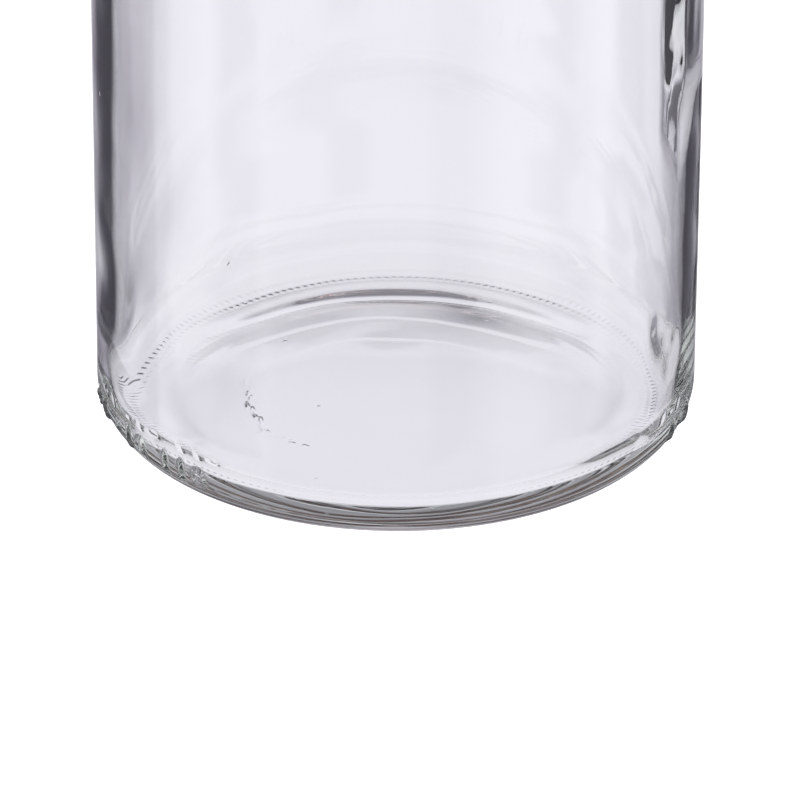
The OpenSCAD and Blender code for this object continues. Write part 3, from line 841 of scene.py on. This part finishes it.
studio = {
    "floorSize": 8.0, "floorColour": (0.80, 0.80, 0.81, 1), "floorGlow": 0.62, "floorDrop": 0.02 * mm,
    "skyLevel": 0.55, "lampLevel": 9.0, "lampDistance": 0.85,
    # lamps: azimuth from the front in degrees, elevation, width, height, share of the level
    "lamps": [(-76, 22, 0.75, 1.0, 1.0), (62, 26, 0.6, 1.0, 0.8), (180, 62, 0.8, 0.8, 0.9)],
    # tints of the surround where it is dark and where it is bright
    "darkTint": (0.97, 0.90, 1.13), "lightTint": (0.995, 0.986, 1.043),
    # surround seen through the glass: azimuth from the front in degrees, then brightness
    "throughLevels": [(-180, 0.875), (-174.5, 0.87), (-170, 0.76), (-166, 0.60), (-162.5, 0.32),
                      (-159, 0.05), (-144, 0.05), (-138, 0.80), (-125, 0.80), (-119, 0.25), (-104, 0.25),
                      (-99, 1.0), (-81, 1.0), (-73, 0.3), (-60, 0.3), (-54, 0.95), (-10, 0.86), (10, 0.86),
                      (16, 0.35), (26, 0.35), (34, 0.95), (56, 0.95), (64, 0.35), (76, 0.35), (84, 0.9),
                      (112, 0.6), (132, 0.05), (159, 0.05), (162.5, 0.32), (166, 0.60), (170, 0.76),
                      (174.5, 0.87)],
    # the white table is seen below these heights of the ray, and the sky above these
    "table": 0.865, "tableEdge": (-0.60, -0.53), "skyEdge": (-0.17, -0.05),
    # sky: height of the ray, then brightness
    "skyLevels": [(0.0, 0.85), (0.12, 0.80), (0.24, 0.62), (0.33, 0.26), (0.42, 0.28), (0.52, 0.36),
                  (0.64, 0.30), (0.72, 0.18), (0.8, 0.10), (1.0, 0.08)],
    # the dark gaps stand wider apart, by this share, above these heights of the ray
    "gapSpread": 0.5, "spreadEdge": (-0.43, -0.35),
    # the sky at the sides, and how much of the ray runs along X where it begins and is full
    "sideSky": [(0.0, 1.0), (0.25, 1.0), (0.38, 0.7), (0.5, 0.35), (0.7, 0.15), (1.0, 0.08)],
    "sideEdge": (0.35, 0.75),
    # surround seen in reflections: azimuth from the front in degrees, then brightness
    "glossLevels": [(-180, 0.9), (-172, 0.9), (-165, 0.12), (-136, 0.12), (-124, 0.6), (-104.5, 0.6),
                    (-103, 1.25), (-52, 1.25), (-46, 0.86), (34, 0.86), (41, 1.3), (85, 1.3), (90, 0.84),
                    (118, 0.7), (138, 0.12), (165, 0.12), (172, 0.9), (180, 0.9)],
    # above the horizon they repeat: degrees of one repeat, then place in its half and brightness
    "glossRepeat": 45, "glossAbove": [(0.0, 0.95), (0.55, 0.9), (0.75, 0.2), (1.0, 0.15)],
}


def levelColour(level, s):
    # Grey of this level times a tint, which goes from the dark to the bright one as the level does.
    share = min(level, 1)
    return [level * (d + (b - d) * share) for d, b in zip(s["darkTint"], s["lightTint"])] + [1]


def levelRamp(tree, factor, stops, s):
    # Colour ramp from (position, level) pairs.
    made = node(tree, "ShaderNodeValToRGB", {0: factor})
    elements = made.color_ramp.elements
    while len(elements) < len(stops):
        elements.new(0.5)
    for element, (position, level) in zip(elements, stops):
        element.position = position
        element.color = levelColour(level, s)
    return made.outputs[0]


def turnRamp(tree, azimuth, stops, s):
    # Colour ramp over a whole turn from (degrees, level) pairs.
    turn = math2(tree, "ADD", math2(tree, "DIVIDE", azimuth, tau), 0.5)
    return levelRamp(tree, turn, [(degrees / 360 + 0.5, level) for degrees, level in stops], s)


def mixColour(tree, factor, a, b):
    # Colour a where the factor is 0 and b where it is 1.
    return node(tree, "ShaderNodeMix", {0: factor, 6: a, 7: b}, data_type="RGBA").outputs[2]


def smooth(tree, value, low, high):
    # Smooth step from 0 at low to 1 at high.
    inputs = {0: value, 1: low, 2: high}
    return node(tree, "ShaderNodeMapRange", inputs, interpolation_type="SMOOTHSTEP").outputs[0]


def azimuthOf(tree, x, y, z, s):
    # Azimuth from the front: the arctangent of x over minus y, with x narrowed where the gaps spread.
    spread = math2(tree, "MULTIPLY", smooth(tree, z, *s["spreadEdge"]), -s["gapSpread"])
    narrowed = math2(tree, "MULTIPLY", x, math2(tree, "ADD", spread, 1.0))
    return math2(tree, "ARCTAN2", narrowed, math2(tree, "MULTIPLY", y, -1.0))


def throughColour(tree, azimuth, x, z, up, s):
    # Seen through glass: the table far below, then white panels with dark gaps between them, and above
    # them the sky, which has its own levels at the sides.
    down = smooth(tree, z, *s["tableEdge"])
    panels = turnRamp(tree, azimuth, s["throughLevels"], s)
    side = smooth(tree, math2(tree, "ABSOLUTE", x), *s["sideEdge"])
    sky = mixColour(tree, side, levelRamp(tree, z, s["skyLevels"], s), levelRamp(tree, z, s["sideSky"], s))
    return mixColour(tree, up, mixColour(tree, down, levelColour(s["table"], s), panels), sky)


def glossColour(tree, azimuth, up, s):
    # Seen in reflections: soft boxes at the sides, and above them a ramp to and fro round the jar.
    half = math.radians(s["glossRepeat"] / 2)
    above = math2(tree, "DIVIDE", math2(tree, "PINGPONG", azimuth, half), half)
    return mixColour(tree, up, turnRamp(tree, azimuth, s["glossLevels"], s),
                     levelRamp(tree, above, s["glossAbove"], s))


def makeWorld(s):
    # Soft light on rough surfaces, surrounds in reflections and through glass, white to the camera.
    world = bpy.data.worlds.new("studioWorld")
    bpy.context.scene.world = world
    world.use_nodes = True
    tree = world.node_tree
    tree.nodes.clear()
    way = node(tree, "ShaderNodeTexCoord").outputs["Generated"]
    x, y, z = node(tree, "ShaderNodeSeparateXYZ", {0: way}).outputs
    azimuth = azimuthOf(tree, x, y, z, s)
    up = smooth(tree, z, *s["skyEdge"])
    white = (1, 1, 1, 1)
    kinds = {"Is Glossy Ray": glossColour(tree, azimuth, up, s),
             "Is Transmission Ray": throughColour(tree, azimuth, x, z, up, s), "Is Camera Ray": white}
    path = node(tree, "ShaderNodeLightPath").outputs
    mix = node(tree, "ShaderNodeBackground", {0: white, 1: s["skyLevel"]})
    for kind, colour in kinds.items():
        seen = node(tree, "ShaderNodeBackground", {0: colour, 1: 1.0})
        mix = node(tree, "ShaderNodeMixShader", {0: path[kind], 1: mix.outputs[0], 2: seen.outputs[0]})
    node(tree, "ShaderNodeOutputWorld", {0: mix.outputs[0]})


def makeFloor(s):
    # A pale floor that glows enough to look white and still shows the jar's soft shadow.
    half, z = s["floorSize"] / 2, -s["floorDrop"]
    points = np.array([(-half, -half, z), (half, -half, z), (half, half, z), (-half, half, z)])
    floor = addMesh("floor", points, [np.array([[0, 1, 2, 3]])])
    mat, tree, shader, output = newMaterial("paleFloor")
    shader.inputs["Base Color"].default_value = s["floorColour"]
    shader.inputs["Roughness"].default_value = 1.0
    shader.inputs["Specular IOR Level"].default_value = 0.0
    cameraRay = node(tree, "ShaderNodeLightPath").outputs["Is Camera Ray"]
    strength = math2(tree, "MULTIPLY", cameraRay, s["floorGlow"])
    glow = node(tree, "ShaderNodeEmission", {0: (1, 1, 1, 1), 1: strength})
    both = node(tree, "ShaderNodeAddShader", {0: shader.outputs[0], 1: glow.outputs[0]})
    tree.links.new(both.outputs[0], output.inputs["Surface"])
    floor.data.materials.append(mat)
    floor.visible_transmission = False
    floor.visible_glossy = False


def lookMatrix(spot, way, roll=0.0):
    # Matrix of a camera or lamp at spot that looks along way, with X level before the roll.
    way = Vector(way).normalized()
    right = way.cross(Vector((0, 0, 1))).normalized()
    up = right.cross(way)
    turn = Matrix((right, up, -way)).transposed().to_4x4()
    return Matrix.Translation(Vector(spot)) @ turn @ Matrix.Rotation(roll, 4, "Z")


def makeLamps(s):
    # Large soft lamps round the jar, aimed at its middle.
    aim = np.array([0, 0, 0.5 * jar["height"]])
    for azimuth, elevation, width, height, share in s["lamps"]:
        az, el = math.radians(azimuth), math.radians(elevation)
        way = np.array([math.sin(az) * math.cos(el), -math.cos(az) * math.cos(el), math.sin(el)])
        light = bpy.data.lights.new("softbox", "AREA")
        light.shape = "RECTANGLE"
        light.size, light.size_y = width, height
        light.energy = s["lampLevel"] * share
        lamp = bpy.data.objects.new("softbox", light)
        bpy.context.scene.collection.objects.link(lamp)
        lamp.matrix_world = lookMatrix(aim + way * s["lampDistance"], -way)
        lamp.visible_transmission = False
        lamp.visible_glossy = False
        lamp.visible_camera = False


view = {
    "distance": 1.24187, "elevation": 0.4833, "target": (0.754 * mm, 0, 0.878 * mm), "roll": 0.0056,
    "focalPixels": 7120, "frameWidth": 800, "sensor": 36, "near": 0.05, "far": 30,
}


def makeCamera(s):
    # The photograph's view: a long lens from 28 degrees above, with its top edge below the jar's neck.
    data = bpy.data.cameras.new("camera")
    data.sensor_fit = "HORIZONTAL"
    data.sensor_width = s["sensor"]
    data.lens = s["focalPixels"] / s["frameWidth"] * s["sensor"]
    data.clip_start, data.clip_end = s["near"], s["far"]
    camera = bpy.data.objects.new("camera", data)
    bpy.context.scene.collection.objects.link(camera)
    way = np.array([0, math.cos(s["elevation"]), -math.sin(s["elevation"])])
    camera.matrix_world = lookMatrix(np.array(s["target"]) - way * s["distance"], way, s["roll"])
    bpy.context.scene.camera = camera


makeCamera(view)
makeWorld(studio)
makeFloor(studio)
makeLamps(studio)
bpy.context.scene.view_settings.view_transform = "Standard"
cycles = bpy.context.scene.cycles   # thick glass turns a ray many times before it leaves
cycles.max_bounces = 32
cycles.glossy_bounces = 20
cycles.transmission_bounces = 14
cycles.transparent_max_bounces = 12
print("studio ready")
